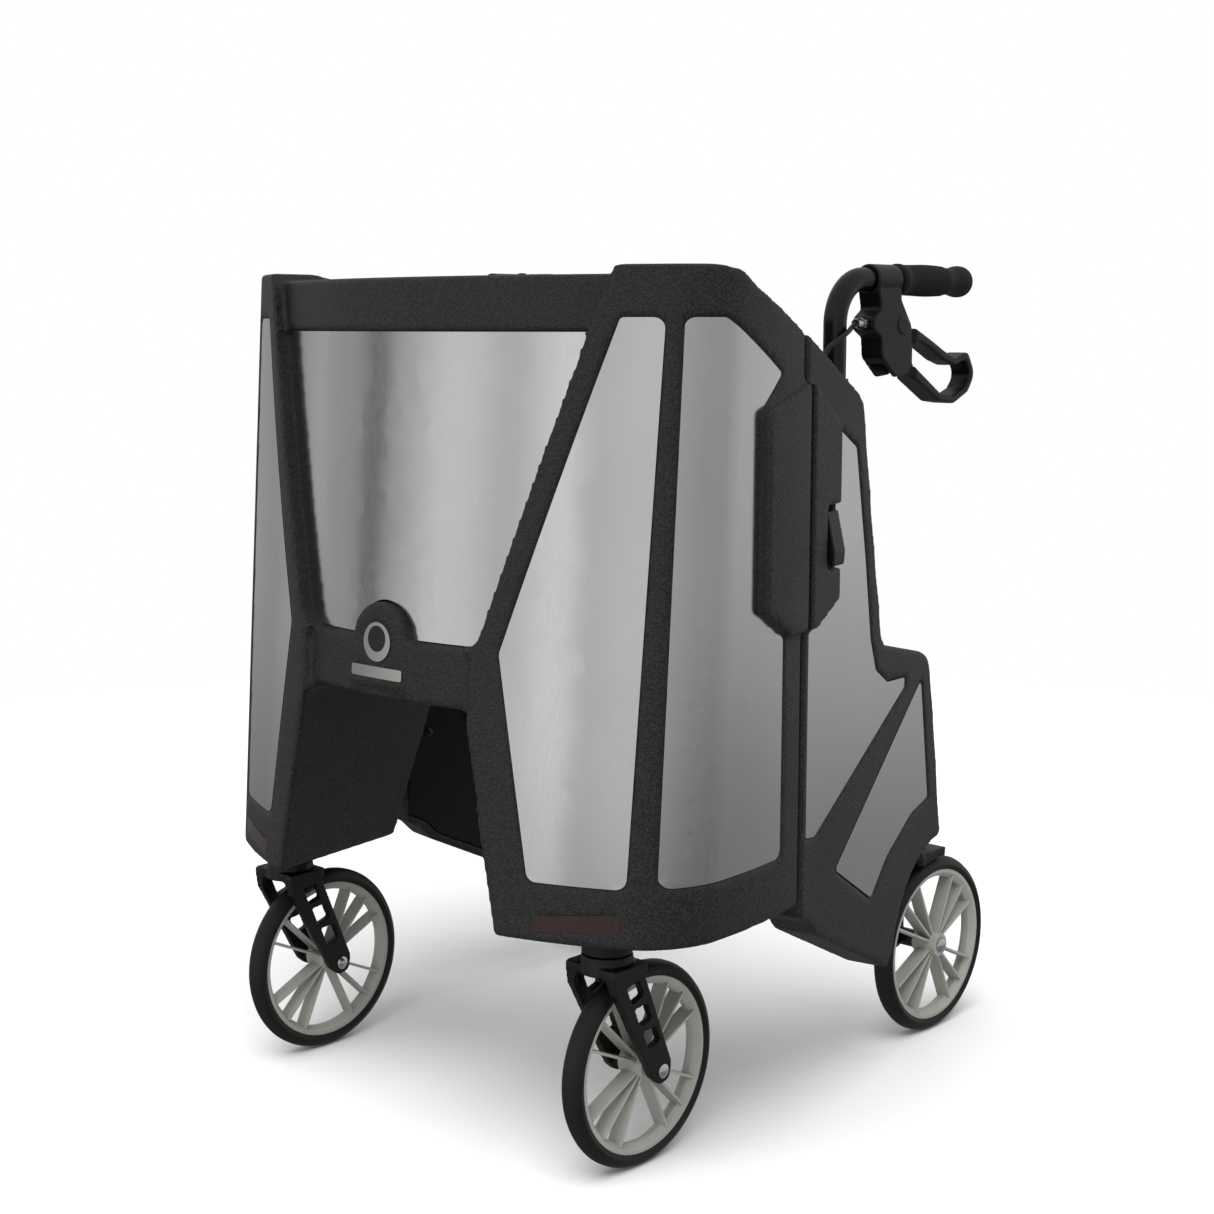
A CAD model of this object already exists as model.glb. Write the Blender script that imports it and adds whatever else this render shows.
# %% [markdown]
# # Dressing a four-wheeled walker
# The walker's sizes, hinges and wheels come from its CAD model. This lesson loads that model as a
# fixed frame and gives every part its real surface: pebbled foam, brushed metal, moulded nylon,
# rubber, zinc and coated cloth. Parts whose CAD shape is too crisp or too plain get a new mesh
# that stands in the same place and rides on the same body.

# %% Load the frame
import math

import bmesh
import bpy
from mathutils import Matrix, Vector


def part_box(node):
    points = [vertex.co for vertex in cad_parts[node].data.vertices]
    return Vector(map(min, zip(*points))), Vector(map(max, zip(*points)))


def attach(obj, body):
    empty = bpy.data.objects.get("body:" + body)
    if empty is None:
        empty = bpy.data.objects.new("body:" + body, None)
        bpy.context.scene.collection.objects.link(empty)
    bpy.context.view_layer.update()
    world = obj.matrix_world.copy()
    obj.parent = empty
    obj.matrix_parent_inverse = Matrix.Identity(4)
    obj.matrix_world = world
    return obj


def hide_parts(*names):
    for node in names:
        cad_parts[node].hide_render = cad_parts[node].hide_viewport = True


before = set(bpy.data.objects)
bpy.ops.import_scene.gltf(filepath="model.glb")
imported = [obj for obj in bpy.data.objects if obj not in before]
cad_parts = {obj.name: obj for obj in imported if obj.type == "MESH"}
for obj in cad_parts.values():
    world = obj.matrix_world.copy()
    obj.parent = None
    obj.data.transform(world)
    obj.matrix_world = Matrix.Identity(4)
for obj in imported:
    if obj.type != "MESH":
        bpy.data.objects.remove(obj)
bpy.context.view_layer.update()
mm = 0.001

# %% [markdown]
# ## The camera
# The camera stands in front of the walker, a little to its left-hand side, at chest height. The
# two caster stems are the line that everything is measured from, so the camera is placed from
# them too. A long lens keeps the upright edges nearly parallel.

# %% Camera
socket_low, socket_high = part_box("caster_sockets")
stem_y = (socket_low.y + socket_high.y) / 2
camera_data = bpy.data.cameras.new("studio_camera")
camera_data.sensor_width = 36.0
camera_data.lens = 57.81
camera = bpy.data.objects.new("studio_camera", camera_data)
camera.location = (1.4129, stem_y - 1.2885, 0.7963)
camera.rotation_euler = (math.radians(81.777), 0.0, math.radians(42.46))
bpy.context.scene.collection.objects.link(camera)
bpy.context.scene.camera = camera
print("camera at", [round(v, 3) for v in camera.location])

# %% [markdown]
# ## Colours and nodes
# Colours are written the way a paint chart or a colour picker gives them, as sRGB hex values.
# Blender's shaders work in linear light, so one function turns them over. A second small
# function adds a shader node with its settings and its links, which keeps each material short.


# %% Colour and node helpers
def linear(hex_colour):
    """An sRGB hex colour as linear red, green, blue and alpha."""
    channels = [int(hex_colour[i:i + 2], 16) / 255 for i in (1, 3, 5)]
    return [c / 12.92 if c <= 0.04045 else ((c + 0.055) / 1.055) ** 2.4 for c in channels] + [1.0]


def add_node(tree, kind, links=None, **settings):
    """Adds a node, sets its properties, then fills its sockets with values or with links."""
    node = tree.nodes.new(kind)
    for key, value in settings.items():
        setattr(node, key, value)
    for socket, value in (links or {}).items():
        if isinstance(value, bpy.types.NodeSocket):
            tree.links.new(value, node.inputs[socket])
        else:
            node.inputs[socket].default_value = value
    return node


def start_material(name):
    """An empty material with its node tree and the object's own coordinates."""
    material = bpy.data.materials.new(name)
    material.use_nodes = True
    tree = material.node_tree
    tree.nodes.clear()
    place = add_node(tree, "ShaderNodeTexCoord").outputs["Object"]
    return material, tree, place


def finish_material(tree, shader):
    add_node(tree, "ShaderNodeOutputMaterial", {"Surface": shader.outputs["BSDF"]})


print("black foam in linear light:", [round(c, 4) for c in linear("#1c1c1e")])

# %% [markdown]
# ## Moulded foam
# The shell and the wings are expanded polypropylene, a foam that is steamed into a mould with a
# pebbled surface. The pebbles are about 2 mm across and a few tenths of a millimetre high.
# They could be modelled, but that needs millions of faces, so a cell pattern drives the bump and
# lightens the tops of the pebbles, where hands and light wear them.


# %% Foam material
def moulded_foam():
    material, tree, place = start_material("moulded_polypropylene_foam")
    pebble = 1 / (1.9 * mm)
    grain = 1 / (0.9 * mm)
    cells = add_node(
        tree, "ShaderNodeTexVoronoi", {"Vector": place, "Scale": pebble, "Randomness": 1.0},
        feature="SMOOTH_F1",
    )
    fine = add_node(
        tree, "ShaderNodeTexNoise", {"Vector": place, "Scale": grain, "Detail": 2.0, "Roughness": 0.6}
    )
    cloudy = add_node(tree, "ShaderNodeTexNoise", {"Vector": place, "Scale": 9.0, "Detail": 3.0})
    tops = add_node(
        tree, "ShaderNodeMapRange",
        {"Value": cells.outputs["Distance"], "From Min": 0.05, "From Max": 0.55, "To Min": 1.0, "To Max": 0.0},
    )
    tone = add_node(
        tree, "ShaderNodeMix",
        {0: tops.outputs["Result"]},
        data_type="RGBA",
    )
    tone.inputs[6].default_value = linear("#0e0e0f")
    tone.inputs[7].default_value = linear("#2a2a2d")
    worn = add_node(
        tree, "ShaderNodeMapRange", {"Value": cloudy.outputs["Fac"], "To Min": 0.40, "To Max": 0.56}
    )
    height = add_node(
        tree, "ShaderNodeMath",
        {0: tops.outputs["Result"], 1: fine.outputs["Fac"]}, operation="MULTIPLY",
    )
    bump = add_node(
        tree, "ShaderNodeBump",
        {"Height": height.outputs["Value"], "Distance": 0.8 * mm, "Strength": 0.9},
    )
    shader = add_node(
        tree, "ShaderNodeBsdfPrincipled",
        {
            "Base Color": tone.outputs[2],
            "Roughness": worn.outputs["Result"],
            "Normal": bump.outputs["Normal"],
            "IOR": 1.49,
        },
    )
    finish_material(tree, shader)
    return material


FOAM = moulded_foam()
print("made", FOAM.name)

# %% [markdown]
# ## Brushed aluminium sheet
# The panels are thin aluminium sheet, brushed along its length and clear coated. Brushing leaves
# hair-fine scratches that blur reflections, mostly across the scratches. The scratches are a
# noise pattern squeezed hard along one axis. Real ones are about 0.1 mm apart, too fine to
# show, so they are drawn 0.8 mm apart.


# %% Brushed sheet material
def brushed_sheet():
    material, tree, place = start_material("brushed_aluminium_sheet")
    across = 1 / (0.8 * mm)
    along = across / 90
    stretched = add_node(
        tree, "ShaderNodeMapping", {"Vector": place, "Scale": (across, across, along)}
    )
    hairs = add_node(
        tree, "ShaderNodeTexNoise",
        {"Vector": stretched.outputs["Vector"], "Scale": 1.0, "Detail": 2.0, "Roughness": 0.65},
    )
    cloudy = add_node(tree, "ShaderNodeTexNoise", {"Vector": place, "Scale": 6.0, "Detail": 2.0})
    rough = add_node(
        tree, "ShaderNodeMapRange",
        {"Value": hairs.outputs["Fac"], "From Min": 0.3, "From Max": 0.7, "To Min": 0.13, "To Max": 0.21},
    )
    tone = add_node(tree, "ShaderNodeMix", {0: cloudy.outputs["Fac"]}, data_type="RGBA")
    tone.inputs[6].default_value = linear("#c6c6c6")
    tone.inputs[7].default_value = linear("#d2d2d2")
    bump = add_node(
        tree, "ShaderNodeBump",
        {"Height": hairs.outputs["Fac"], "Distance": 0.01 * mm, "Strength": 0.2},
    )
    shader = add_node(
        tree, "ShaderNodeBsdfPrincipled",
        {
            "Base Color": tone.outputs[2],
            "Metallic": 1.0,
            "Roughness": rough.outputs["Result"],
            "Normal": bump.outputs["Normal"],
        },
    )
    finish_material(tree, shader)
    return material


BRUSHED = brushed_sheet()
print("made", BRUSHED.name)

# %% [markdown]
# ## Hard plastics, rubber and coated steel
# Most of the small parts differ only in colour, gloss and the grain of their mould or coat, so
# one recipe serves them all. Each finish still starts from its own material: its refractive
# index, its roughness and the size of its grain in millimetres.


# %% Grained finishes
def grained(name, dark, light, grain_mm, height_mm, roughness, ior=1.5, metallic=0.0, coat=0.0):
    """A surface with two close tones, a fine grain and a roughness that wanders a little."""
    material, tree, place = start_material(name)
    grain = add_node(
        tree, "ShaderNodeTexNoise",
        {"Vector": place, "Scale": 1 / (grain_mm * mm), "Detail": 3.0, "Roughness": 0.6},
    )
    patches = add_node(tree, "ShaderNodeTexNoise", {"Vector": place, "Scale": 28.0, "Detail": 2.0})
    tone = add_node(tree, "ShaderNodeMix", {0: patches.outputs["Fac"]}, data_type="RGBA")
    tone.inputs[6].default_value = linear(dark)
    tone.inputs[7].default_value = linear(light)
    rough = add_node(
        tree, "ShaderNodeMapRange",
        {"Value": patches.outputs["Fac"], "To Min": roughness - 0.06, "To Max": roughness + 0.06},
    )
    bump = add_node(
        tree, "ShaderNodeBump",
        {"Height": grain.outputs["Fac"], "Distance": height_mm * mm, "Strength": 0.6},
    )
    shader = add_node(
        tree, "ShaderNodeBsdfPrincipled",
        {
            "Base Color": tone.outputs[2],
            "Roughness": rough.outputs["Result"],
            "Normal": bump.outputs["Normal"],
            "Metallic": metallic,
            "IOR": ior,
            "Coat Weight": coat,
        },
    )
    finish_material(tree, shader)
    return material


NYLON = grained("moulded_glass_filled_nylon", "#070708", "#0d0d0e", 0.9, 0.10, 0.40, ior=1.42)
POWDER = grained("satin_powder_coated_steel", "#050505", "#090909", 1.3, 0.05, 0.30, ior=1.45)
ZINC = grained("bright_zinc_plate", "#c9cdd2", "#dfe3e6", 2.0, 0.02, 0.20, ior=1.5, metallic=1.0)
RUBBER = grained("moulded_grip_rubber", "#0b0b0c", "#121213", 1.1, 0.18, 0.62, ior=1.42)
TYRE = grained("solid_tyre_rubber", "#09090a", "#101011", 1.8, 0.12, 0.50, ior=1.45)
RIM = grained("moulded_grey_nylon", "#8f8f89", "#9e9e98", 1.2, 0.05, 0.34)
JACKET = grained("cable_jacket_vinyl", "#070708", "#0c0c0d", 1.0, 0.03, 0.33)
COVER = grained("coated_seat_cloth", "#17181a", "#222326", 0.8, 0.22, 0.66, ior=1.46)
print("made the hard finishes")

# %% [markdown]
# ## Reflector lens
# A reflector is a dark red acrylic moulding with rows of small prisms behind a smooth face. A
# checker of ridges, 3 mm apart, in the bump gives the broken sparkle; the face keeps its gloss.


# %% Reflector material
def reflector_lens():
    material, tree, place = start_material("dark_red_acrylic_prisms")
    prisms = add_node(
        tree, "ShaderNodeTexVoronoi", {"Vector": place, "Scale": 1 / (3.0 * mm), "Randomness": 0.0},
        distance="CHEBYCHEV",
    )
    tone = add_node(tree, "ShaderNodeMix", {0: prisms.outputs["Distance"]}, data_type="RGBA")
    tone.inputs[6].default_value = linear("#2e211e")
    tone.inputs[7].default_value = linear("#1b100e")
    bump = add_node(
        tree, "ShaderNodeBump",
        {"Height": prisms.outputs["Distance"], "Distance": 0.6 * mm, "Strength": 0.5},
    )
    shader = add_node(
        tree, "ShaderNodeBsdfPrincipled",
        {
            "Base Color": tone.outputs[2],
            "Roughness": 0.22,
            "Normal": bump.outputs["Normal"],
            "IOR": 1.4,
        },
    )
    finish_material(tree, shader)
    return material


LENS = reflector_lens()
print("made", LENS.name)

# %% [markdown]
# ## Emblem disc
# The round emblem is a black enamelled disc with a polished rim, and the bar under it is plain
# plated metal. One material covers both: the distance from the disc's centre, measured in the
# XZ plane, says where the enamel lies.


# %% Enamel and plate
def enamelled_plate():
    material, tree, place = start_material("enamelled_nickel_plate")
    low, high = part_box("badge_plates")
    centre = ((low.x + high.x) / 2, 0.0, high.z - 16.0 * mm)
    flat = add_node(tree, "ShaderNodeVectorMath", {0: place, 1: (1.0, 0.0, 1.0)}, operation="MULTIPLY")
    reach = add_node(
        tree, "ShaderNodeVectorMath", {0: flat.outputs["Vector"], 1: centre}, operation="DISTANCE"
    )
    enamel = add_node(
        tree, "ShaderNodeMapRange",
        {
            "Value": reach.outputs["Value"],
            "From Min": 12.6 * mm,
            "From Max": 12.9 * mm,
            "To Min": 1.0,
            "To Max": 0.0,
        },
    )
    grain = add_node(
        tree, "ShaderNodeTexNoise", {"Vector": place, "Scale": 1 / (1.2 * mm), "Detail": 2.0}
    )
    tone = add_node(tree, "ShaderNodeMix", {0: enamel.outputs["Result"]}, data_type="RGBA")
    tone.inputs[6].default_value = linear("#c6c4c0")
    tone.inputs[7].default_value = linear("#0a0a0b")
    bare = add_node(
        tree, "ShaderNodeMath", {0: 1.0, 1: enamel.outputs["Result"]}, operation="SUBTRACT"
    )
    bump = add_node(
        tree, "ShaderNodeBump",
        {"Height": grain.outputs["Fac"], "Distance": 0.02 * mm, "Strength": 0.5},
    )
    shader = add_node(
        tree, "ShaderNodeBsdfPrincipled",
        {
            "Base Color": tone.outputs[2],
            "Metallic": bare.outputs["Value"],
            "Roughness": 0.28,
            "Normal": bump.outputs["Normal"],
        },
    )
    finish_material(tree, shader)
    return material


PLATE = enamelled_plate()
print("made", PLATE.name)

# %% [markdown]
# ## Foam shells
# Foam mouldings have no sharp edge anywhere: every rim is rounded by 3 to 5 mm. Bevelling a CAD
# mesh that is full of curved cuts is fragile. Voxel remeshing is not: it wraps the solids in
# even quads, joins the pieces that touch into one moulding, and a few passes of smoothing then
# round all edges alike. Hidden inner skins come out as loose islands and are dropped.


# %% Mesh helpers
def gathered(name, nodes):
    """A new object whose mesh joins merged copies of the named CAD parts."""
    bm = bmesh.new()
    for node in nodes:
        bm.from_mesh(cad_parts[node].data)
    bmesh.ops.remove_doubles(bm, verts=bm.verts, dist=0.01 * mm)
    return as_piece(name, bm)


def as_piece(name, bm):
    mesh = bpy.data.meshes.new(name)
    bm.to_mesh(mesh)
    bm.free()
    piece = bpy.data.objects.new(name, mesh)
    bpy.context.scene.collection.objects.link(piece)
    return piece


def with_modifiers_applied(piece):
    """Replaces the mesh by what its modifiers make of it."""
    bpy.context.view_layer.update()
    graph = bpy.context.evaluated_depsgraph_get()
    made = bpy.data.meshes.new_from_object(piece.evaluated_get(graph))
    piece.modifiers.clear()
    piece.data = made
    return piece


def outer_skin_only(piece):
    """Keeps the island of faces with the largest spread."""
    bm = bmesh.new()
    bm.from_mesh(piece.data)
    bm.verts.ensure_lookup_table()
    seen = set()
    islands = []
    for start in bm.verts:
        if start.index in seen:
            continue
        island = []
        queue = [start]
        seen.add(start.index)
        while queue:
            vert = queue.pop()
            island.append(vert)
            for edge in vert.link_edges:
                other = edge.other_vert(vert)
                if other.index not in seen:
                    seen.add(other.index)
                    queue.append(other)
        islands.append(island)
    keep = max(islands, key=len)
    drop = [vert for island in islands if island is not keep for vert in island]
    bmesh.ops.delete(bm, geom=drop, context="VERTS")
    bm.to_mesh(piece.data)
    bm.free()
    return piece


def soft_moulding(name, nodes, material, voxel_mm, rounds, triangles):
    """Wraps the CAD parts in one soft-edged moulding."""
    piece = gathered(name, nodes)
    remesh = piece.modifiers.new("wrap", "REMESH")
    remesh.mode = "VOXEL"
    remesh.voxel_size = voxel_mm * mm
    with_modifiers_applied(piece)
    outer_skin_only(piece)
    soften = piece.modifiers.new("soften", "SMOOTH")
    soften.factor = 0.5
    soften.iterations = rounds
    count = 2 * len(piece.data.polygons)
    if count > triangles:
        thin = piece.modifiers.new("thin", "DECIMATE")
        thin.ratio = triangles / count
    with_modifiers_applied(piece)
    piece.data.shade_smooth()
    piece.data.materials.clear()
    piece.data.materials.append(material)
    print(name, len(piece.data.polygons), "faces")
    return piece


# %% Front shell and wings
front_shell = soft_moulding(
    "foam_front_shell",
    ["shell_left", "shell_right", "front_wall", "apron", "caster_sockets"],
    FOAM, 2.8, 9, 190000,
)
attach(front_shell, "chassis")
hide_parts("shell_left", "shell_right", "front_wall", "apron")

for side in ("left", "right"):
    wing = soft_moulding("foam_wing_" + side, ["wing_shell_" + side], FOAM, 2.4, 9, 150000)
    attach(wing, "wing_" + side)
    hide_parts("wing_shell_" + side)

# %% [markdown]
# ## Moulded nylon parts
# Brake levers, brake housings and caster forks are injection moulded in glass filled nylon. The
# same wrapping suits them, with a much finer mesh: it gives the edges a radius of about 1 mm.

# %% Levers, housings and forks
for side in ("left", "right"):
    for stem, body, rounds in (
        ("brake_lever", "lever_", 14),
        ("brake_housing", "handle_", 4),
        ("caster_fork", "caster_", 3),
        ("latch_paddle", "paddle_", 3),
        ("brake_shoe", "shoe_", 2),
    ):
        node = stem + "_" + side
        moulding = soft_moulding("moulded_" + node, [node], NYLON, 1.0, rounds, 60000)
        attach(moulding, body + side)
        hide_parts(node)

# %% [markdown]
# ## CAD parts that keep their shape
# Levers, forks, brackets, panels and bolts are right as they are. A CAD mesh is made of loose
# triangles with hard corners, so three modifiers finish it without touching it: Weld joins the
# triangles, Bevel eases each sharp edge by a few tenths of a millimetre, and Weighted Normal
# keeps the flat faces flat.


# %% Finish the CAD parts
def finish_part(node, material, ease_mm=0.4):
    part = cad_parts[node]
    part.data.materials.clear()
    part.data.materials.append(material)
    part.data.shade_smooth()
    weld = part.modifiers.new("weld", "WELD")
    weld.merge_threshold = 0.01 * mm
    ease = part.modifiers.new("ease", "BEVEL")
    ease.width = ease_mm * mm
    ease.segments = 2
    ease.limit_method = "ANGLE"
    ease.angle_limit = math.radians(32.0)
    ease.harden_normals = False
    normals = part.modifiers.new("normals", "WEIGHTED_NORMAL")
    normals.keep_sharp = True


FINISHES = {
    "front_panel": (BRUSHED, 0.5),
    "corner_panels": (BRUSHED, 0.5),
    "side_panels": (BRUSHED, 0.5),
    "reflectors": (LENS, 0.4),
    "badge_plates": (PLATE, 0.5),
    "leg_frame": (POWDER, 0.4),
    "caster_sockets": (NYLON, 0.8),
    "latch_keepers": (ZINC, 0.2),
    "seat_tray": (NYLON, 0.8),
    "seat_hinge": (POWDER, 0.4),
    "seat_board": (NYLON, 1.0),
    "hinge_sets": (POWDER, 0.5),
}
SIDE_FINISHES = {
    "wing_cover": (NYLON, 0.6),
    "wing_panels": (BRUSHED, 0.5),
    "post_sleeve": (POWDER, 0.3),
    "wing_frame": (POWDER, 0.4),
    "height_knob": (NYLON, 0.8),
    "handle_post": (POWDER, 0.3),
    "cable_adjuster": (ZINC, 0.3),
    "brake_cable_upper": (JACKET, 0.2),
    "brake_cable_lower": (JACKET, 0.2),
    "rear_tyre": (TYRE, 0.4),
    "rear_rim": (RIM, 0.4),
    "caster_bolt": (ZINC, 0.3),
    "front_tyre": (TYRE, 0.4),
    "front_rim": (RIM, 0.4),
}
for node, (material, ease_mm) in FINISHES.items():
    finish_part(node, material, ease_mm)
for stem, (material, ease_mm) in SIDE_FINISHES.items():
    for side in ("left", "right"):
        finish_part(stem + "_" + side, material, ease_mm)
print("finished", len(FINISHES) + 2 * len(SIDE_FINISHES), "CAD parts")

# %% [markdown]
# ## Grips
# The grip is a soft rubber sleeve, turned like a bottle: a flange next to the brake, a slim
# waist, and a swollen end for the heel of the hand. Fine rings around the waist stop the palm
# from sliding. A profile spun about the tube's axis makes all of it in one operation.


# %% Grip pieces
def spun(name, profile, centre, axis, steps, material):
    """Spins a closed profile of (radius, distance along the axis) points about an axis."""
    along = Vector(axis).normalized()
    out = along.orthogonal().normalized()
    bm = bmesh.new()
    verts = [bm.verts.new(centre + out * r + along * a) for r, a in profile]
    edges = [bm.edges.new((verts[i - 1], verts[i])) for i in range(len(verts))]
    bmesh.ops.spin(
        bm, geom=verts + edges, cent=centre, axis=along, angle=2 * math.pi, steps=steps, use_merge=True
    )
    bmesh.ops.remove_doubles(bm, verts=bm.verts, dist=0.005 * mm)
    bmesh.ops.recalc_face_normals(bm, faces=bm.faces)
    piece = as_piece(name, bm)
    piece.data.shade_smooth()
    piece.data.materials.append(material)
    return piece


def ringed_profile(length, radius, bore):
    """Half outline of the grip, with rings 4 mm apart along the waist."""
    points = []
    steps = int(length / (1.0 * mm))
    for i in range(steps + 1):
        along = i * length / steps
        share = along / length
        swell = 1.0 + 0.10 * math.exp(-((share - 0.90) / 0.08) ** 2)
        swell += 0.07 * math.exp(-((share - 0.42) / 0.2) ** 2)
        flange = 0.10 * math.exp(-((share - 0.03) / 0.03) ** 4)
        waist = -0.09 * math.exp(-((share - 0.74) / 0.08) ** 2)
        body = radius * (swell + flange + waist)
        ring = 0.0
        if 0.12 < share < 0.66:
            ring = 0.45 * mm * math.sin(2 * math.pi * along / (4 * mm))
        left = length - along
        cap = 9 * mm
        if left < cap:
            body *= math.sqrt(max(0.0, 1 - ((cap - left) / cap) ** 2.6)) * 0.55 + 0.45
        points.append((body + ring, along))
    points.append((bore, length - 1.0 * mm))
    points.append((bore, 0.0))
    return points


for side in ("left", "right"):
    low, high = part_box("grip_" + side)
    post_low, post_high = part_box("handle_post_" + side)
    tube_r = (post_high.x - post_low.x) / 2
    centre = Vector(((low.x + high.x) / 2, low.y, (low.z + high.z) / 2))
    grip = spun(
        "ringed_grip_" + side,
        ringed_profile(high.y - low.y, 15 * mm, 3 * mm),
        centre, (0, 1, 0), 72, RUBBER,
    )
    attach(grip, "handle_" + side)
    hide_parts("grip_" + side)
print("grips turned for a", round(2 * tube_r / mm, 1), "mm tube")

# %% [markdown]
# ## Rear axle nuts
# Each rear axle ends outside its hub in a domed zinc nut. The same spinning makes it: a quarter
# of an ellipse turned about the axle.

# %% Domed nuts
for side, sign in (("left", 1), ("right", -1)):
    low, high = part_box("rear_rim_" + side)
    centre = (low + high) / 2
    centre.x = (high.x if sign > 0 else low.x) + sign * 0.4 * mm
    radius = 8.4 * mm
    rise = 4.9 * mm
    arc = [i * math.pi / 2 / 10 for i in range(11)]
    curve = [(radius * math.cos(a), rise * math.sin(a)) for a in arc]
    nut = spun("domed_axle_nut_" + side, curve + [(0.0, 0.0)], centre, (sign, 0, 0), 40, ZINC)
    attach(nut, "wing_" + side)
print("two domed nuts,", round(2 * radius / mm, 1), "mm across")

# %% [markdown]
# ## Seat cushion and back pad
# Both are foam pads in coated cloth. A block with rounded edges would look like soap, so the
# cloth is inflated a little: the pad is wrapped in an even mesh, cloth physics blows it up
# against its own stretch, and the result is kept. No point may travel far, which keeps the pad
# inside the space its CAD solid holds.


# %% Inflate the pads
def inflated(name, node, shrink, cap_mm):
    """A cloth-covered pad that swells from a slightly smaller copy of its CAD solid."""
    piece = gathered(name, [node])
    low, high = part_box(node)
    centre = (low + high) / 2
    shape = Matrix.Translation(centre) @ Matrix.Diagonal((*shrink, 1.0)) @ Matrix.Translation(-centre)
    piece.data.transform(shape)
    remesh = piece.modifiers.new("wrap", "REMESH")
    remesh.mode = "VOXEL"
    remesh.voxel_size = 5 * mm
    soften = piece.modifiers.new("soften", "SMOOTH")
    soften.iterations = 6
    with_modifiers_applied(piece)
    rest = [vert.co.copy() for vert in piece.data.vertices]
    cloth = piece.modifiers.new("cloth", "CLOTH")
    cloth.settings.quality = 4
    cloth.settings.use_pressure = True
    cloth.settings.uniform_pressure_force = 4.0
    cloth.settings.effector_weights.gravity = 0.0
    scene = bpy.context.scene
    for number in range(1, 21):
        scene.frame_set(number)
    with_modifiers_applied(piece)
    scene.frame_set(1)
    limit = cap_mm * mm
    for vert, old in zip(piece.data.vertices, rest):
        move = vert.co - old
        if move.length > limit:
            vert.co = old + move.normalized() * limit
    divide = piece.modifiers.new("divide", "SUBSURF")
    divide.levels = 1
    divide.render_levels = 1
    with_modifiers_applied(piece)
    piece.data.shade_smooth()
    piece.data.materials.clear()
    piece.data.materials.append(COVER)
    print(name, len(piece.data.polygons), "faces")
    return piece


cushion = inflated("seat_pad_cover", "seat_cushion", (0.975, 0.955, 0.86), 6)
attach(cushion, "seat")
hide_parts("seat_cushion")

back = inflated("back_pad_cover", "back_pad", (0.96, 0.96, 0.96), 4)
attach(back, "chassis")
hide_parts("back_pad")

# %% [markdown]
# ## Studio
# The walker stands on a pale round floor. Light comes from everywhere, as in a white tent, with
# one broad soft light overhead. Brushed metal only looks like metal when it has something to
# reflect, so the tent is not evenly bright: its brightness changes around the horizon, in
# wide soft bands and one dark gap.


# %% Floor
bm = bmesh.new()
bmesh.ops.create_circle(bm, cap_ends=True, segments=96, radius=2.4)
floor = as_piece("studio_floor", bm)
paper, paper_tree, paper_place = start_material("matt_paper_floor")
paper_noise = add_node(paper_tree, "ShaderNodeTexNoise", {"Vector": paper_place, "Scale": 3.0})
paper_tone = add_node(paper_tree, "ShaderNodeMix", {0: paper_noise.outputs["Fac"]}, data_type="RGBA")
paper_tone.inputs[6].default_value = linear("#f4f4f4")
paper_tone.inputs[7].default_value = linear("#f6f6f6")
paper_shader = add_node(
    paper_tree, "ShaderNodeBsdfPrincipled", {"Base Color": paper_tone.outputs[2], "Roughness": 0.9}
)
finish_material(paper_tree, paper_shader)
floor.data.materials.append(paper)
floor.visible_glossy = False

# %% Tent of light
HORIZON = [
    (-180, 0.36), (-171, 0.47), (-167, 0.55), (-159, 0.41), (-153, 0.43), (-149, 0.38),
    (-147, 0.15), (-144, 0.17), (-141.5, 0.19), (-140, 0.46), (-133, 0.58), (-124, 0.88),
    (-116, 0.83), (-108, 0.62), (-104, 0.66), (-97, 0.93), (-93, 1.02), (-89, 0.98),
    (-87.5, 0.50), (-85, 0.68), (-76, 0.79), (-58, 0.64), (-34, 0.48), (-6, 0.43), (25, 0.43),
    (52, 0.56), (70, 0.62), (80, 0.62), (120, 0.45), (163, 0.38), (180, 0.36),
]
world = bpy.data.worlds.new("light_tent")
bpy.context.scene.world = world
world.use_nodes = True
sky = world.node_tree
sky.nodes.clear()
direction = add_node(sky, "ShaderNodeTexCoord").outputs["Generated"]
parts = add_node(sky, "ShaderNodeSeparateXYZ", {"Vector": direction})
turn = add_node(
    sky, "ShaderNodeMath", {0: parts.outputs["Y"], 1: parts.outputs["X"]}, operation="ARCTAN2"
)
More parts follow.
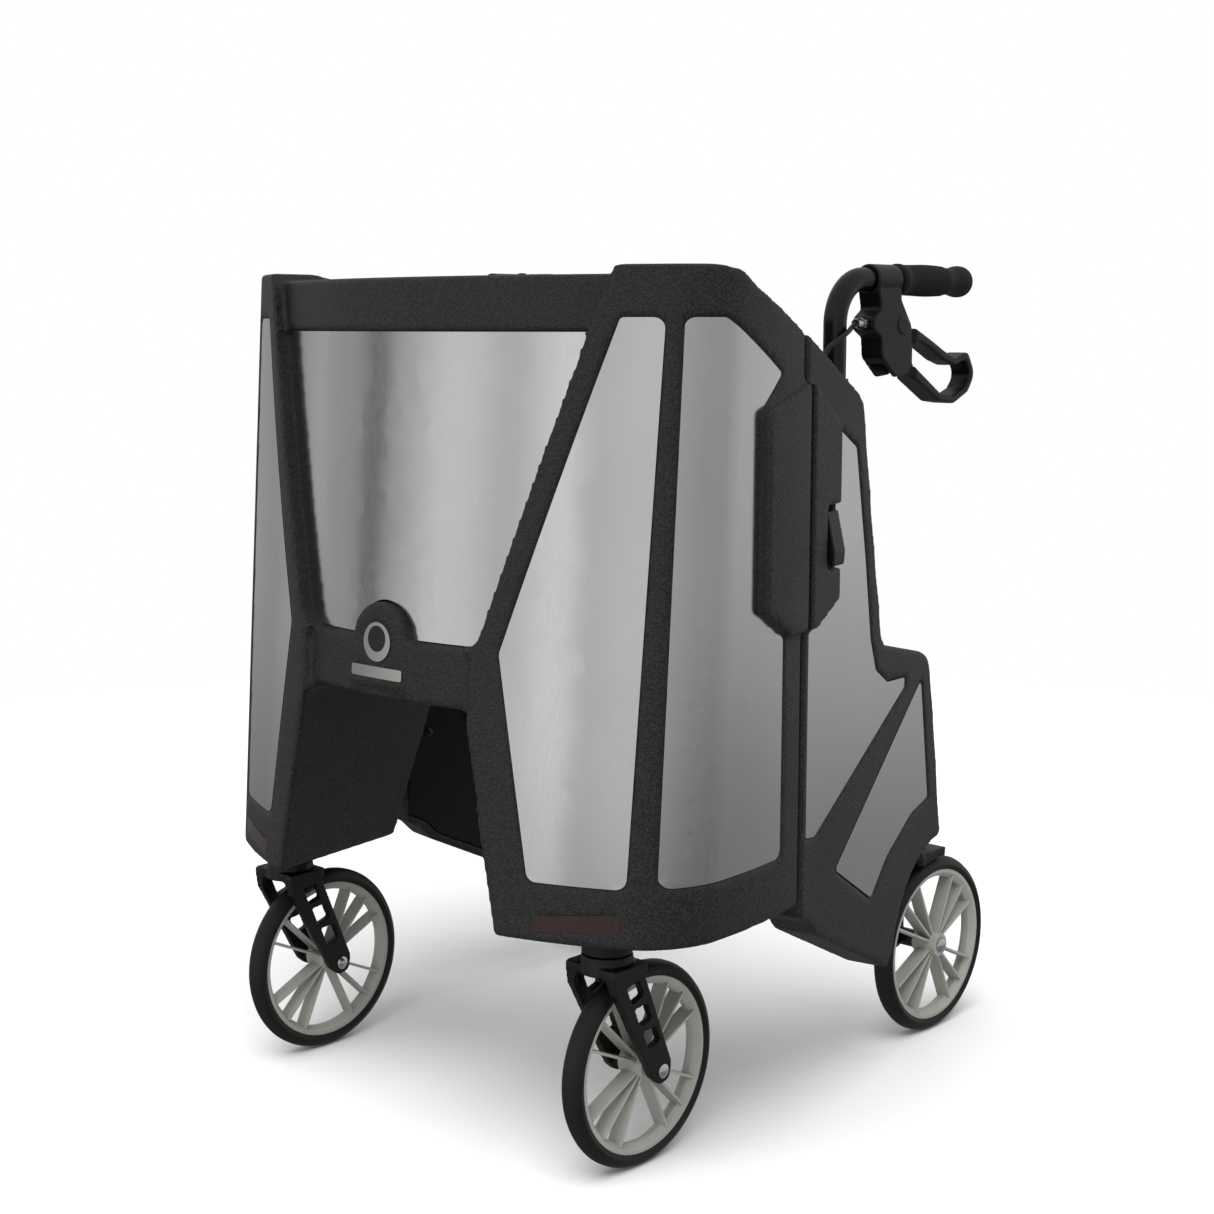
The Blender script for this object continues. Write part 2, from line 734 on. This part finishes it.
around = add_node(
    sky, "ShaderNodeMapRange",
    {"Value": turn.outputs["Value"], "From Min": -math.pi, "From Max": math.pi},
)
bands = add_node(sky, "ShaderNodeValToRGB", {"Fac": around.outputs["Result"]})
ramp = bands.color_ramp
ramp.interpolation = "LINEAR"
for place, (degrees, level) in enumerate(HORIZON):
    stop = (degrees + 180) / 360
    mark = ramp.elements[place] if place < 2 else ramp.elements.new(stop)
    mark.position = stop
    mark.color = (level, level, level, 1.0)
skirt = add_node(
    sky, "ShaderNodeMapRange",
    {"Value": parts.outputs["Z"], "From Min": -0.26, "From Max": -0.10, "To Min": 0.42, "To Max": 1.0},
)
low_bands = add_node(
    sky, "ShaderNodeVectorMath",
    {0: bands.outputs["Color"], 1: skirt.outputs["Result"]}, operation="MULTIPLY",
)
overhead = add_node(
    sky, "ShaderNodeMapRange",
    {"Value": parts.outputs["Z"], "From Min": 0.12, "From Max": 0.5, "To Min": 0.0, "To Max": 1.0},
)
lit = add_node(sky, "ShaderNodeMix", {0: overhead.outputs["Result"]}, data_type="RGBA")
sky.links.new(low_bands.outputs["Vector"], lit.inputs[6])
lit.inputs[7].default_value = (0.55, 0.55, 0.55, 1.0)
seen = add_node(sky, "ShaderNodeLightPath").outputs["Is Camera Ray"]
shown = add_node(sky, "ShaderNodeMix", {0: seen}, data_type="RGBA")
sky.links.new(lit.outputs[2], shown.inputs[6])
shown.inputs[7].default_value = (1.0, 1.0, 1.0, 1.0)
glow = add_node(sky, "ShaderNodeBackground", {"Color": shown.outputs[2], "Strength": 1.0})
add_node(sky, "ShaderNodeOutputWorld", {"Surface": glow.outputs["Background"]})

# %% Overhead light
sun_data = bpy.data.lights.new("overhead_softbox", "SUN")
sun_data.energy = 2.9
sun_data.angle = math.radians(50)
sun = bpy.data.objects.new("overhead_softbox", sun_data)
sun.rotation_euler = (math.radians(24), math.radians(14), 0.0)
sun.visible_glossy = False
bpy.context.scene.collection.objects.link(sun)
bpy.context.scene.view_settings.view_transform = "Standard"
print("studio lit with", len(HORIZON), "bands")
